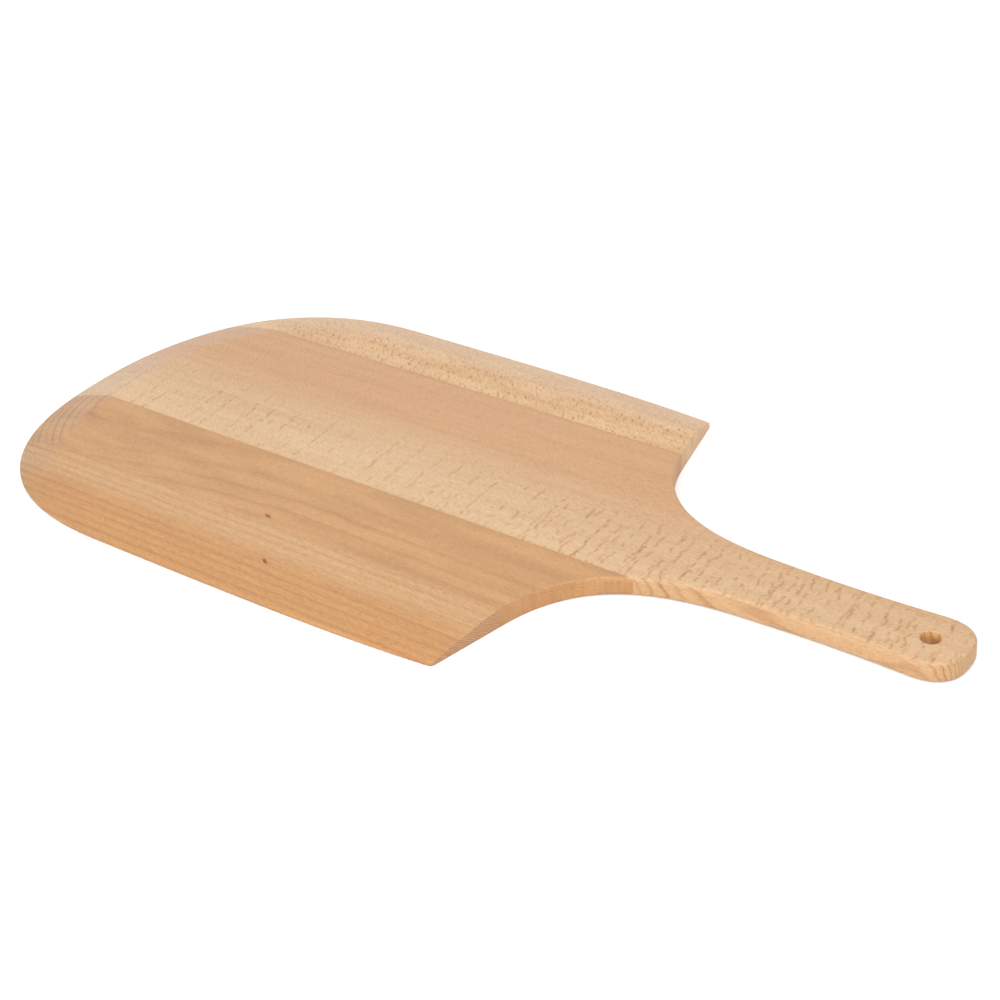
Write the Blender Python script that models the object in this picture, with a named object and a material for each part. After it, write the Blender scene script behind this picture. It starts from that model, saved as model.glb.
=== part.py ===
"""Wooden pizza peel: three beech staves glued edge to edge, the middle one running on as the handle.

Metres, +Z up. The origin lies under the middle of the peel, on the surface that the peel lies on.
The blade points to -X and the handle to +X. Plan positions are first worked out in a frame whose
x = 0 is the line through the two shoulder corners, and then moved into the part's own frame.
"""
import math

import bmesh
import bpy
from mathutils import Vector

# Overall sizes
OVERALL_LENGTH = 0.749
BLADE_LENGTH = 0.462
BLADE_WIDTH = 0.3556
SHOULDER_WIDTH = 0.3408
THICKNESS = 0.0143
SHOULDER_X = BLADE_LENGTH - OVERALL_LENGTH / 2
TAIL_END = OVERALL_LENGTH - BLADE_LENGTH

# Nose of the blade: a flattened quarter on each side of a tip that lies a little off centre
NOSE_TIP_Y = -0.012
NOSE_RUN = {1: 0.177, -1: 0.172}
NOSE_EXPONENT = {1: 2.2, -1: 2.45}
SIDE_PULL = (0.17, 0.07)
SHOULDER_CORNER_RADIUS = 0.003

# Neck and handle, as half widths at distances behind the shoulder corners
NECK_START = Vector((0.0135, 0.110))
NECK_PULL = (Vector((0.0310, 0.0275)), Vector((0.1166, 0.0276)))
NECK_END = Vector((0.150, 0.0261))
GRIP_PULL = (Vector((0.185, 0.0245)), Vector((0.215, 0.0243)))
GRIP_END = Vector((0.2585, 0.0264))
TAIL_EXPONENT = 2.5

# Rounded edge of the handle, which runs out to a square edge at the shoulders
EDGE_RADIUS = 0.0035
EDGE_FADE_START = 0.018
EDGE_FADE_END = 0.050
EDGE_STEPS = 3

# Bevel of the blade: from its crease on the flat top down to a thin edge. Its cutter runs on past the
# shoulders by a length, and past the crease and the edge by shares of half the bevel's width
CREASE_Y = {1: 0.136, -1: -0.1145}
CREASE_TIP = Vector((-0.419, -0.020))
CREASE_NOSE_RUN = 0.139
CREASE_EXPONENT = 2.35
CREASE_CORNER_X = -0.3975
CREASE_CORNER_ANGLE = math.radians(31.7)
NOSE_EDGE = 0.0015
SIDE_EDGE = 0.003
NOSE_EDGE_FADE = 0.06
BEVEL_CROWN = 0.0008
BEVEL_RUN_PAST = 0.03
CUT_PAST_CREASE = 0.08
CUT_PAST_EDGE = 0.4

# Hole to hang the peel by
HOLE_RADIUS = 0.0068
HOLE_X = 0.260
HOLE_EASING = 0.0009
HOLE_SIDES = 40

# Edge joints between the staves
JOINT_LOW_Y = -0.0408
JOINT_HIGH_Y = 0.1066
JOINT_GAP = 0.0003

# How far cutters reach past the wood, how finely curves are divided, and what shades as a sharp edge
CLEARANCE = 0.01
SHARP_ANGLE = math.radians(35)
NOSE_STEPS = 18
SIDE_STEPS = 8
CORNER_STEPS = 4
NECK_STEPS = 16
GRIP_STEPS = 8
TAIL_STEPS = 12

BEECH = {
    "right_stave": (0.72, 0.47, 0.29),
    "middle_stave_with_handle": (0.70, 0.45, 0.27),
    "left_stave": (0.62, 0.36, 0.20),
}
WOOD_ROUGHNESS = 0.55


def smooth(value):
    """Ease from 0 to 1 as value goes from 0 to 1."""
    value = min(max(value, 0.0), 1.0)
    return value * value * (3 - 2 * value)


def superellipse(run, rise, exponent, steps):
    """Quarter of a superellipse, from (run, 0) round to (0, rise)."""
    points = []
    for step in range(steps + 1):
        angle = math.pi / 2 * step / steps
        along = max(math.cos(angle), 0.0) ** (2 / exponent)
        across = math.sin(angle) ** (2 / exponent)
        points.append(Vector((run * along, rise * across)))
    return points


def bezier(start, pull_start, pull_end, end, steps):
    """Points of a cubic Bezier curve, both ends included."""
    points = []
    for step in range(steps + 1):
        t = step / steps
        s = 1 - t
        points.append(s**3 * start + 3 * s * s * t * pull_start + 3 * s * t * t * pull_end + t**3 * end)
    return points


def round_corner(before, corner, after):
    """Points that round a corner off between its two neighbours."""
    entry = corner + (before - corner).normalized() * SHOULDER_CORNER_RADIUS
    leave = corner + (after - corner).normalized() * SHOULDER_CORNER_RADIUS
    return bezier(entry, entry.lerp(corner, 2 / 3), leave.lerp(corner, 2 / 3), leave, CORNER_STEPS)


def nose_edge(side):
    """Outline of the nose on one side, from its tip to where the blade's side starts."""
    run = NOSE_RUN[side]
    rise = BLADE_WIDTH / 2 - side * NOSE_TIP_Y
    quarter = superellipse(run, rise, NOSE_EXPONENT[side], NOSE_STEPS)
    return [Vector((run - BLADE_LENGTH - point.x, NOSE_TIP_Y + side * point.y)) for point in quarter]


def blade_side(side):
    """Outline of one side of the blade, from the nose to the shoulder corner."""
    half = BLADE_WIDTH / 2
    start = Vector((NOSE_RUN[side] - BLADE_LENGTH, half))
    corner = Vector((0.0, SHOULDER_WIDTH / 2))
    points = bezier(start, Vector((-SIDE_PULL[0], half)), Vector((-SIDE_PULL[1], half)), corner, SIDE_STEPS)
    return [Vector((point.x, side * point.y)) for point in points]


def neck_and_handle(side):
    """Outline from the end of the straight shoulder to the middle of the handle's end."""
    half = bezier(NECK_START, *NECK_PULL, NECK_END, NECK_STEPS)
    half += bezier(NECK_END, *GRIP_PULL, GRIP_END, GRIP_STEPS)[1:]
    tail = superellipse(TAIL_END - GRIP_END.x, GRIP_END.y, TAIL_EXPONENT, TAIL_STEPS)
    half += [Vector((GRIP_END.x + point.x, point.y)) for point in reversed(tail)][1:]
    return [Vector((point.x, side * point.y)) for point in half]


def half_outline(side):
    """Outline of one side of the peel, from the nose's tip to the handle's end."""
    edge = blade_side(side)
    rest = neck_and_handle(side)
    corner = round_corner(edge[-2], edge[-1], rest[0])
    return nose_edge(side) + edge[1:-1] + corner + rest


def outline():
    """Closed outline of the whole peel in the part's own frame, anticlockwise from above."""
    lower = half_outline(-1)
    upper = half_outline(1)
    points = lower + upper[-2:0:-1]
    return [Vector((point.x + SHOULDER_X, point.y)) for point in points]


def inward_normals(points):
    """Unit normal of each outline point, pointing into the wood."""
    normals = []
    for index, point in enumerate(points):
        before = (point - points[index - 1]).normalized()
        after = (points[(index + 1) % len(points)] - point).normalized()
        along = (before + after).normalized()
        normals.append(Vector((-along.y, along.x)))
    return normals


def edge_radius(x):
    """Radius of the rounded edge at a place along the peel: full on the handle, none on the blade."""
    return EDGE_RADIUS * smooth((x - SHOULDER_X - EDGE_FADE_START) / (EDGE_FADE_END - EDGE_FADE_START))


def edge_profile():
    """Rings of the edge, bottom to top: inset and height as shares of the radius, and top or bottom."""
    rings = []
    for step in range(EDGE_STEPS + 1):
        angle = math.pi / 2 * step / EDGE_STEPS
        rings.append((1 - math.sin(angle), 1 - math.cos(angle), False))
    return rings + [(inset, height, True) for inset, height, _ in reversed(rings)]


def whole_board(name):
    """The whole peel as one flat board of full thickness, with the handle's edges rounded."""
    points = outline()
    normals = inward_normals(points)
    board = bmesh.new()
    rings = []
    for inset, height, is_top in edge_profile():
        ring = []
        for point, normal in zip(points, normals):
            radius = edge_radius(point.x)
            place = point + normal * inset * radius
            z = THICKNESS - height * radius if is_top else height * radius
            ring.append(board.verts.new((place.x, place.y, z)))
        rings.append(ring)
    count = len(points)
    for lower, upper in zip(rings, rings[1:]):
        for index in range(count):
            after = (index + 1) % count
            board.faces.new((lower[index], lower[after], upper[after], upper[index]))
    board.faces.new(list(reversed(rings[0])))
    board.faces.new(rings[-1])
    bmesh.ops.remove_doubles(board, verts=board.verts, dist=1e-6)
    bmesh.ops.triangulate(board, faces=board.faces)
    return finish_mesh(board, name)


def finish_mesh(source, name):
    """Write a bmesh to a new mesh with smooth round faces and sharp edges between flat ones."""
    bmesh.ops.recalc_face_normals(source, faces=source.faces)
    mesh = bpy.data.meshes.new(name)
    source.to_mesh(mesh)
    source.free()
    mesh.shade_smooth()
    mesh.set_sharp_from_angle(angle=SHARP_ANGLE)
    return mesh


def nose_crease(side):
    """Where the bevel of the nose leaves the flat top, point for point with nose_edge."""
    if side > 0:
        end_x = CREASE_TIP.x + CREASE_NOSE_RUN
        rise = CREASE_Y[side] - CREASE_TIP.y
        quarter = superellipse(CREASE_NOSE_RUN, rise, CREASE_EXPONENT, NOSE_STEPS)
        return [Vector((end_x - point.x, CREASE_TIP.y + point.y)) for point in quarter]
    points = []
    for step in range(NOSE_STEPS + 1):
        angle = math.pi / 2 * step / NOSE_STEPS
        if angle < CREASE_CORNER_ANGLE:
            share = angle / CREASE_CORNER_ANGLE
            x = CREASE_TIP.x + (CREASE_CORNER_X - CREASE_TIP.x) * share**2
            y = CREASE_TIP.y + (CREASE_Y[side] - CREASE_TIP.y) * share
        else:
            share = (angle - CREASE_CORNER_ANGLE) / (math.pi / 2 - CREASE_CORNER_ANGLE)
            x = CREASE_CORNER_X + (NOSE_RUN[side] - BLADE_LENGTH - CREASE_CORNER_X) * share
            y = CREASE_Y[side]
        points.append(Vector((x, y)))
    return points


def bevel_lines(side):
    """Pairs of crease point and edge point along one side, from the nose's tip to past the shoulder."""
    pairs = list(zip(nose_crease(side), nose_edge(side)))
    beyond = Vector((BEVEL_RUN_PAST, side * SHOULDER_WIDTH / 2))
    for edge in blade_side(side)[1:] + [beyond]:
        pairs.append((Vector((edge.x, CREASE_Y[side])), edge))
    return pairs


def bevel_section(crease, edge):
    """Section of the bevel cutter across the blade's edge, as points in space."""
    thin = NOSE_EDGE + (SIDE_EDGE - NOSE_EDGE) * smooth((edge.x + BLADE_LENGTH) / NOSE_EDGE_FADE)
    top = Vector((crease.x + SHOULDER_X, crease.y, THICKNESS))
    foot = Vector((edge.x + SHOULDER_X, edge.y, thin))
    middle = (top + foot) / 2 + Vector((0, 0, BEVEL_CROWN))
    inner = top + (top - middle) * CUT_PAST_CREASE
    outer = foot + (foot - middle) * CUT_PAST_EDGE
    above = THICKNESS + CLEARANCE
    return [inner, middle, foot, outer, Vector((outer.x, outer.y, above)), Vector((inner.x, inner.y, above))]


def add_cutter(name, source):
    """Add a cutter that Boolean modifiers use and that is no part of the peel."""
    cutter = bpy.data.objects.new(name, finish_mesh(source, name))
    cutter.display_type = "WIRE"
    cutter.hide_render = True
    bpy.context.collection.objects.link(cutter)
    return cutter


def bevel_cutter():
    """Solid that takes the bevel off the blade's sides and nose in one sweep."""
    lines = bevel_lines(-1)[:0:-1] + bevel_lines(1)
    sweep = bmesh.new()
    sections = []
    for crease, edge in lines:
        sections.append([sweep.verts.new(point) for point in bevel_section(crease, edge)])
    for left, right in zip(sections, sections[1:]):
        for index in range(len(left)):
            after = (index + 1) % len(left)
            sweep.faces.new((left[index], left[after], right[after], right[index]))
    sweep.faces.new(sections[0])
    sweep.faces.new(list(reversed(sections[-1])))
    bmesh.ops.triangulate(sweep, faces=sweep.faces)
    return add_cutter("bevel_cutter", sweep)


def hole_cutter():
    """Round cutter for the hanging hole, wider at both faces so that the rims come out eased."""
    flare = HOLE_EASING + CLEARANCE
    profile = [
        (HOLE_RADIUS + flare, -CLEARANCE),
        (HOLE_RADIUS, HOLE_EASING),
        (HOLE_RADIUS, THICKNESS - HOLE_EASING),
        (HOLE_RADIUS + flare, THICKNESS + CLEARANCE),
    ]
    drill = bmesh.new()
    rings = []
    for radius, z in profile:
        ring = []
        for index in range(HOLE_SIDES):
            angle = 2 * math.pi * index / HOLE_SIDES
            x = SHOULDER_X + HOLE_X + radius * math.cos(angle)
            ring.append(drill.verts.new((x, radius * math.sin(angle), z)))
        rings.append(ring)
    for lower, upper in zip(rings, rings[1:]):
        for index in range(HOLE_SIDES):
            after = (index + 1) % HOLE_SIDES
            drill.faces.new((lower[index], lower[after], upper[after], upper[index]))
    drill.faces.new(list(reversed(rings[0])))
    drill.faces.new(rings[-1])
    return add_cutter("hole_cutter", drill)


def stave_slab(name, low, high):
    """Block that holds the part of the board between two joint planes."""
    block = bmesh.new()
    bmesh.ops.create_cube(block, size=1)
    size = Vector((OVERALL_LENGTH + 2 * CLEARANCE, high - low, THICKNESS + 2 * CLEARANCE))
    bmesh.ops.scale(block, vec=size, verts=block.verts)
    bmesh.ops.translate(block, vec=(0, (low + high) / 2, THICKNESS / 2), verts=block.verts)
    return add_cutter(name + "_slab", block)


def beech(name):
    """Beech in the stave's own shade."""
    material = bpy.data.materials.new(name)
    material.use_nodes = True
    shader = material.node_tree.nodes["Principled BSDF"]
    shader.inputs["Base Color"].default_value = (*BEECH[name], 1)
    shader.inputs["Roughness"].default_value = WOOD_ROUGHNESS
    shader.inputs["Metallic"].default_value = 0
    return material


def cut(stave, operation, cutter):
    """Add an exact Boolean to a stave."""
    boolean = stave.modifiers.new(cutter.name, "BOOLEAN")
    boolean.operation = operation
    boolean.solver = "EXACT"
    boolean.object = cutter


def add_stave(name, low, high, cutters):
    """One stave of the board between two joint planes, with the cutters taken out of it."""
    stave = bpy.data.objects.new(name, whole_board(name))
    stave.data.materials.append(beech(name))
    bpy.context.collection.objects.link(stave)
    cut(stave, "INTERSECT", stave_slab(name, low, high))
    for cutter in cutters:
        cut(stave, "DIFFERENCE", cutter)
    return stave


def main():
    for leftover in list(bpy.data.objects):
        bpy.data.objects.remove(leftover)
    bevel = bevel_cutter()
    hole = hole_cutter()
    half_gap = JOINT_GAP / 2
    outside = BLADE_WIDTH / 2 + CLEARANCE
    add_stave("left_stave", -outside, JOINT_LOW_Y - half_gap, [bevel])
    add_stave("middle_stave_with_handle", JOINT_LOW_Y + half_gap, JOINT_HIGH_Y - half_gap, [bevel, hole])
    add_stave("right_stave", JOINT_HIGH_Y + half_gap, outside, [bevel])


main()
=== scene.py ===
"""Looks of the wooden pizza peel: finished beech staves in place of the plain CAD ones, light and camera.

Metres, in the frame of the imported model: blade to -X, handle to +X, lying on z = 0.
"""
import math

import bmesh
import bpy
import numpy as np
from mathutils import Matrix, Vector
from mathutils.geometry import delaunay_2d_cdt


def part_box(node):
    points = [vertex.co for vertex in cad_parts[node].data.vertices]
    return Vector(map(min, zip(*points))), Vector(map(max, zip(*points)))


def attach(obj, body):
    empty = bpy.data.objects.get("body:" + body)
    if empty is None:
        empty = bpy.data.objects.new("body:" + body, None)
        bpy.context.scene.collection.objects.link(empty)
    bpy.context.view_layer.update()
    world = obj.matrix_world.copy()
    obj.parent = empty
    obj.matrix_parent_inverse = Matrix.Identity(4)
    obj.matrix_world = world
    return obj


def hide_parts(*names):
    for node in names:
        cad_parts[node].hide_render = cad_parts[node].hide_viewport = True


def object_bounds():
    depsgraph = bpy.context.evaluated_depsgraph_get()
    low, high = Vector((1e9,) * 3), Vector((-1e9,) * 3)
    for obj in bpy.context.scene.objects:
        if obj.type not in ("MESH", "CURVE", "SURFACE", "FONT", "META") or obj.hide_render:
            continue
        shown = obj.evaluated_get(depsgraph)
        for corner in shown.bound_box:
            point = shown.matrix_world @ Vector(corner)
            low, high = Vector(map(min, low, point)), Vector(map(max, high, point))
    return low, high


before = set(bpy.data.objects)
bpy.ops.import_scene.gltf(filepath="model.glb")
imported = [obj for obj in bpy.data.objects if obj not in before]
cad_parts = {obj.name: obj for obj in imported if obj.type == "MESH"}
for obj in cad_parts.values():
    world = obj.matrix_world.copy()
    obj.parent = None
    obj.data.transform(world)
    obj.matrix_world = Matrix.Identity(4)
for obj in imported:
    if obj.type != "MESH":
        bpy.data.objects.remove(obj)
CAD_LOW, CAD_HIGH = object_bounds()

# Overall sizes, from the frame
LENGTH, WIDTH, THICKNESS = CAD_HIGH - CAD_LOW
NOSE_X = CAD_LOW.x
JOINT_LOW = (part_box("left_stave")[1].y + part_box("middle_stave_with_handle")[0].y) / 2
JOINT_HIGH = (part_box("middle_stave_with_handle")[1].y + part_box("right_stave")[0].y) / 2
GLUE_LINE = 0.00002

# Outline. Distances along the peel are from the line through the shoulder corners
BLADE_LENGTH = 0.462
SHOULDER_X = NOSE_X + BLADE_LENGTH
SHOULDER_HALF = 0.1704
NOSE_TIP_Y = -0.012
NOSE_RUN = {1: 0.177, -1: 0.172}
NOSE_EXPONENT = {1: 2.2, -1: 2.45}
SIDE_PULL = (0.17, 0.07)
SHOULDER_CORNER_RADIUS = 0.003
NECK = [Vector(p) for p in ((0.0135, 0.110), (0.0310, 0.0275), (0.1166, 0.0276), (0.150, 0.0261))]
GRIP = [Vector(p) for p in ((0.150, 0.0261), (0.185, 0.0245), (0.215, 0.0243), (0.2585, 0.0264))]
TAIL_EXPONENT = 2.5
HOLE_X = 0.260
HOLE_RADIUS = 0.0068
HOLE_EASING = 0.0007

# Edges: hardly eased on the blade, fully rounded on the handle
BLADE_EASING = 0.0006
HANDLE_ROUNDING = 0.0032
ROUNDING_STARTS = 0.012
ROUNDING_FULL = 0.055

# Bevel of the blade
CREASE_Y = {1: 0.136, -1: -0.1145}
CREASE_TIP = Vector((-0.419, -0.020))
CREASE_NOSE_RUN = 0.139
CREASE_EXPONENT = 2.35
CREASE_CORNER_X = -0.3975
CREASE_CORNER_ANGLE = math.radians(31.7)
CREASE_SOFTNESS = 0.0045
CREASE_SMOOTHINGS = 14
BEVEL_RUN_PAST = 0.03
NOSE_EDGE = 0.0015
SIDE_EDGE = 0.003
NOSE_EDGE_FADE = 0.06
BEVEL_CROWN = 0.0008

# How finely the surfaces are divided
NOSE_STEPS = 56
SIDE_STEPS = 44
CORNER_STEPS = 8
SHOULDER_STEPS = 14
NECK_STEPS = 56
GRIP_STEPS = 26
TAIL_STEPS = 40
EDGE_STEPS = 7
SUPPORT_INSETS = (0.0004, 0.0012)
HOLE_SIDES = 72
FLAT_GRID = 0.008
BEVEL_GRID = 0.003
UNDER_GRID = 0.016
GRID_MARGIN = 0.45
CREASE_LANES = (-0.006, -0.0045, -0.003, -0.0015, 0.0, 0.0015, 0.003, 0.0045, 0.006)
SHARP_ANGLE = math.radians(40)
MERGE_DISTANCE = 1e-6
TOLERANCE = 1e-7
NEVER_ZERO = 1e-9

# Wood. Lengths from here to the colours are in millimetres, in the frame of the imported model
MILLIMETRES = 1000
THREAD_SIZE = (5.5, 1.1, 1.1)
VESSEL_SIZE = (3.2, 0.65, 0.65)
STREAK_SIZE = (60, 6.0, 7.0)
DASH_DEPTH = 40.0
WOBBLE_PATCH = (14, 9, 40)
KNOT_PATCH = (3, 3, 9)
PIN_KNOTS = ((-105.2, -107.1), (-74.5, -145.4))
KNOT_RADIUS = 1.9
KNOT_HALO_RADIUS = 5.0
GLUE_REACH = 4.5
CHAIN_WIDTH = 1.75
CHAIN_LINK = 5.2
CHAIN_LANE_STEP = 7.3

# Spacing of the growth rings, and how they lie in the left stave
MIDDLE_RING = 2.7
RIGHT_RING = 4.0
LEFT_LEVEL_RING = 2.4
LEFT_BEVEL_RING = 8.0
LEFT_COMB = 2.8
LEFT_LAYER = 1.7
LEFT_RING_MIDDLE = 40.0
LEFT_RING_CURVE = 1000.0
LEFT_TURN_WIDTH = 34.0
LEFT_FOLD = 113.0
LEFT_FOLD_SLOPE = 1.1

# Zones of the wood, as (where there is nothing of it, where it is in full).
# Outwards from the middle line, on the left stave
LEFT_BEVEL_BEGINS = (109.0, 116.0)
LEFT_PALE_BEGINS = (111.0, 118.0)
LEFT_PALE_ENDS = (150.0, 130.0)
LEFT_ORANGE_BEGINS = (132.0, 156.0)
# In Y, on the middle stave
MIDDLE_PALE_BEGINS = (10.0, -30.0)
MIDDLE_PINK_BEGINS = (8.0, 60.0)
FLECKS_END = (38.0, 8.0)
SPECKLE_BEGINS = (4.0, 26.0)
SPECKLE_ENDS = (90.0, 50.0)
# In X, along the peel
LEFT_TURN = (-320.0, -100.0)
LEFT_NOSE_BEGINS = (-300.0, -345.0)
HANDLE_BEGINS = (40.0, 150.0)
WAVY_FLECKS_BEGIN = (30.0, 110.0)
SPECKLE_ALONG = (-120.0, 40.0)

# Colours of the bare wood, red, green and blue in linear light
LEFT_DARK = (0.425, 0.226, 0.092)
LEFT_LIGHT = (0.473, 0.262, 0.110)
LEFT_PALE = (0.492, 0.303, 0.155)
LEFT_ORANGE = (0.452, 0.232, 0.084)
LEFT_BLUSH = (0.470, 0.225, 0.080)
LEFT_SIDE = (0.440, 0.226, 0.084)
LEFT_END = (0.418, 0.234, 0.114)
KNOT_HALO = (0.420, 0.185, 0.065)
MIDDLE_PLAIN = (0.521, 0.350, 0.198)
MIDDLE_PALE = (0.556, 0.385, 0.228)
MIDDLE_PINK = (0.486, 0.278, 0.137)
MIDDLE_SIDE = (0.445, 0.240, 0.092)
RIGHT_DARK = (0.520, 0.322, 0.158)
RIGHT_LIGHT = (0.577, 0.378, 0.204)
RIGHT_BEVEL = (0.510, 0.328, 0.190)

# Shades that the wood's colour is multiplied by
PITH_SHADE = (0.40, 0.27, 0.17)
FLECK_SHADE = (0.80, 0.64, 0.46)
GOLDEN_FLECK_SHADE = (0.68, 0.49, 0.31)
RING_SHADE = (0.80, 0.69, 0.55)
SIDE_RING_SHADE = (0.74, 0.60, 0.44)
FIBRE_SHADE = (0.72, 0.63, 0.52)
GLUE_SHADE = (0.74, 0.62, 0.50)
STREAK_SHADE = (0.965, 0.940, 0.900)
HANDLE_SHADE = (0.985, 0.970, 0.965)
# Greyer and darker on faces that lean towards the nose: painted shade and sheen of a bevel turned away from
# the lamps, along with the darker cut across the fibres
LEFT_NOSE_CUT_GRAIN_AND_PAINTED_SHADE = (0.940, 0.960, 1.0)
MIDDLE_NOSE_CUT_GRAIN_AND_PAINTED_SHADE = (0.935, 0.915, 0.930)
# Painted light that brightens the wall of the hanging hole
HOLE_PAINTED_LIGHT = (1.5, 1.55, 1.6)

# Gloss and relief of the surface. The relief's height is in metres
GLOSS_ROUGHNESS = 0.38
SPECULAR = 0.55
RELIEF_STRENGTH = 0.4
RELIEF_HEIGHT = 0.0003

# Camera and floor. Angles in degrees
CAMERA_LENS = 71.16
CAMERA_SENSOR = 36
CAMERA_AZIMUTH = -51.405
CAMERA_ELEVATION = 32.732
CAMERA_ROLL = -4.6
CAMERA_DISTANCE = 1.408
CAMERA_TARGET = Vector((0.01036, 0.00919, 0.0))
FLOOR_HALF = 6.0
FLOOR_GAP = 0.0002
FLOOR_COLOUR = (0.93, 0.93, 0.93, 1)


# ---------------------------------------------------------------- outline

def smooth(value):
    """Ease from 0 to 1 as value goes from 0 to 1."""
    value = min(max(value, 0.0), 1.0)
    return value * value * (3 - 2 * value)


def superellipse(run, rise, exponent, steps):
    """Quarter of a superellipse, from (run, 0) round to (0, rise)."""
    points = []
    for step in range(steps + 1):
        angle = math.pi / 2 * step / steps
        along = max(math.cos(angle), 0.0) ** (2 / exponent)
        points.append(Vector((run * along, rise * math.sin(angle) ** (2 / exponent))))
    return points


def bezier(start, pull_start, pull_end, end, steps):
    """Points of a cubic Bezier curve, both ends included."""
    points = []
    for step in range(steps + 1):
        t = step / steps
        s = 1 - t
        points.append(s**3 * start + 3 * s * s * t * pull_start + 3 * s * t * t * pull_end + t**3 * end)
    return points


def nose_edge(side):
    """Outline of the nose on one side, from its tip to where the blade's side starts."""
    run = NOSE_RUN[side]
    rise = WIDTH / 2 - side * NOSE_TIP_Y
    quarter = superellipse(run, rise, NOSE_EXPONENT[side], NOSE_STEPS)
    return [Vector((run - BLADE_LENGTH - point.x, NOSE_TIP_Y + side * point.y)) for point in quarter]


def blade_side(side):
    """Outline of one side of the blade, from the nose to the shoulder corner."""
    start = Vector((NOSE_RUN[side] - BLADE_LENGTH, WIDTH / 2))
    corner = Vector((0.0, SHOULDER_HALF))
    pulls = [Vector((-pull, WIDTH / 2)) for pull in SIDE_PULL]
    return [Vector((point.x, side * point.y)) for point in bezier(start, *pulls, corner, SIDE_STEPS)]


def shoulder(side, before):
    """Rounded shoulder corner and the straight run in to the neck."""
    corner = Vector((0.0, side * SHOULDER_HALF))
    neck = Vector((NECK[0].x, side * NECK[0].y))
    entry = corner + (before - corner).normalized() * SHOULDER_CORNER_RADIUS
    leave = corner + (neck - corner).normalized() * SHOULDER_CORNER_RADIUS
    rounded = bezier(entry, entry.lerp(corner, 2 / 3), leave.lerp(corner, 2 / 3), leave, CORNER_STEPS)
    return rounded + [leave.lerp(neck, step / SHOULDER_STEPS) for step in range(1, SHOULDER_STEPS)]


def neck_and_handle(side):
    """Outline from the end of the straight shoulder to the middle of the handle's end."""
    half = bezier(*NECK, NECK_STEPS) + bezier(*GRIP, GRIP_STEPS)[1:]
    tail_end = LENGTH - BLADE_LENGTH
    tail = superellipse(tail_end - GRIP[3].x, GRIP[3].y, TAIL_EXPONENT, TAIL_STEPS)
    half += [Vector((GRIP[3].x + point.x, point.y)) for point in reversed(tail)][1:]
    return [Vector((point.x, side * point.y)) for point in half]


def half_outline(side):
    """Outline of one side of the peel, from the nose's tip to the handle's end."""
    edge = blade_side(side)
    return nose_edge(side) + edge[1:-1] + shoulder(side, edge[-2]) + neck_and_handle(side)


def outline():
    """Closed outline of the whole peel, anticlockwise from above."""
    return half_outline(-1) + half_outline(1)[-2:0:-1]


def inset(points, distances):
    """The closed outline moved into the wood, each point by its own distance."""
    moved = []
    for index, point in enumerate(points):
        before = (point - points[index - 1]).normalized()
        after = (points[(index + 1) % len(points)] - point).normalized()
        along = (before + after).normalized()
        moved.append(point + Vector((-along.y, along.x)) * distances[index])
    return moved


def edge_radius(x):
    """Radius of the rounded edge: full on the handle, hardly any on the blade."""
    share = smooth((x - ROUNDING_STARTS) / (ROUNDING_FULL - ROUNDING_STARTS))
    return BLADE_EASING + (HANDLE_ROUNDING - BLADE_EASING) * share


# ---------------------------------------------------------------- bevel

def nose_crease(side):
    """Where the bevel of the nose leaves the flat top, point for point with nose_edge."""
    if side > 0:
        end_x = CREASE_TIP.x + CREASE_NOSE_RUN
        rise = CREASE_Y[side] - CREASE_TIP.y
        quarter = superellipse(CREASE_NOSE_RUN, rise, CREASE_EXPONENT, NOSE_STEPS)
        return [Vector((end_x - point.x, CREASE_TIP.y + point.y)) for point in quarter]
    points = []
    for step in range(NOSE_STEPS + 1):
        angle = math.pi / 2 * step / NOSE_STEPS
        if angle < CREASE_CORNER_ANGLE:
            share = angle / CREASE_CORNER_ANGLE
            x = CREASE_TIP.x + (CREASE_CORNER_X - CREASE_TIP.x) * share**2
            y = CREASE_TIP.y + (CREASE_Y[side] - CREASE_TIP.y) * share
        else:
            share = (angle - CREASE_CORNER_ANGLE) / (math.pi / 2 - CREASE_CORNER_ANGLE)
            x = CREASE_CORNER_X + (NOSE_RUN[side] - BLADE_LENGTH - CREASE_CORNER_X) * share
            y = CREASE_Y[side]
        points.append(Vector((x, y)))
    return points


def bevel_lines():
    """Crease points and edge points in pairs, from behind one shoulder round the nose to the other."""
    halves = {}
    for side in (-1, 1):
        pairs = list(zip(nose_crease(side), nose_edge(side)))
        pairs += [(Vector((edge.x, CREASE_Y[side])), edge) for edge in blade_side(side)[1:]]
        past_crease_end = Vector((BEVEL_RUN_PAST, CREASE_Y[side]))
        past_edge_end = Vector((BEVEL_RUN_PAST, side * SHOULDER_HALF))
        pairs.append((past_crease_end, past_edge_end))
        halves[side] = pairs
    lines = halves[-1][:0:-1] + halves[1]
    creases = np.array([tuple(crease) for crease, _ in lines])
    for _ in range(CREASE_SMOOTHINGS):
        creases[1:-1] = (creases[:-2] + 2 * creases[1:-1] + creases[2:]) / 4
    return creases, np.array([tuple(edge) for _, edge in lines])


def inside(points, polygon):
    """Whether each point lies inside a closed polygon."""
    x, y = points[:, 0], points[:, 1]
    result = np.zeros(len(points), bool)
    for (x0, y0), (x1, y1) in zip(polygon, np.roll(polygon, -1, axis=0)):
        if y0 != y1:
            crosses = (y0 > y) != (y1 > y)
            result ^= crosses & (x < (x1 - x0) * (y - y0) / (y1 - y0) + x0)
    return result


def nearest(points, line):
    """Distance of each point to a polyline, and its place along the polyline as a decimal index."""
    starts = line[:-1]
    runs = line[1:] - starts
    lengths = (runs**2).sum(1)
    offsets = points[:, None, :] - starts[None]
    shares = np.clip((offsets * runs[None]).sum(2) / lengths, 0, 1)
    gaps = np.linalg.norm(offsets - shares[..., None] * runs[None], axis=2)
    best = gaps.argmin(1)
    rows = np.arange(len(points))
    return gaps[rows, best], best + shares[rows, best]


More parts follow.
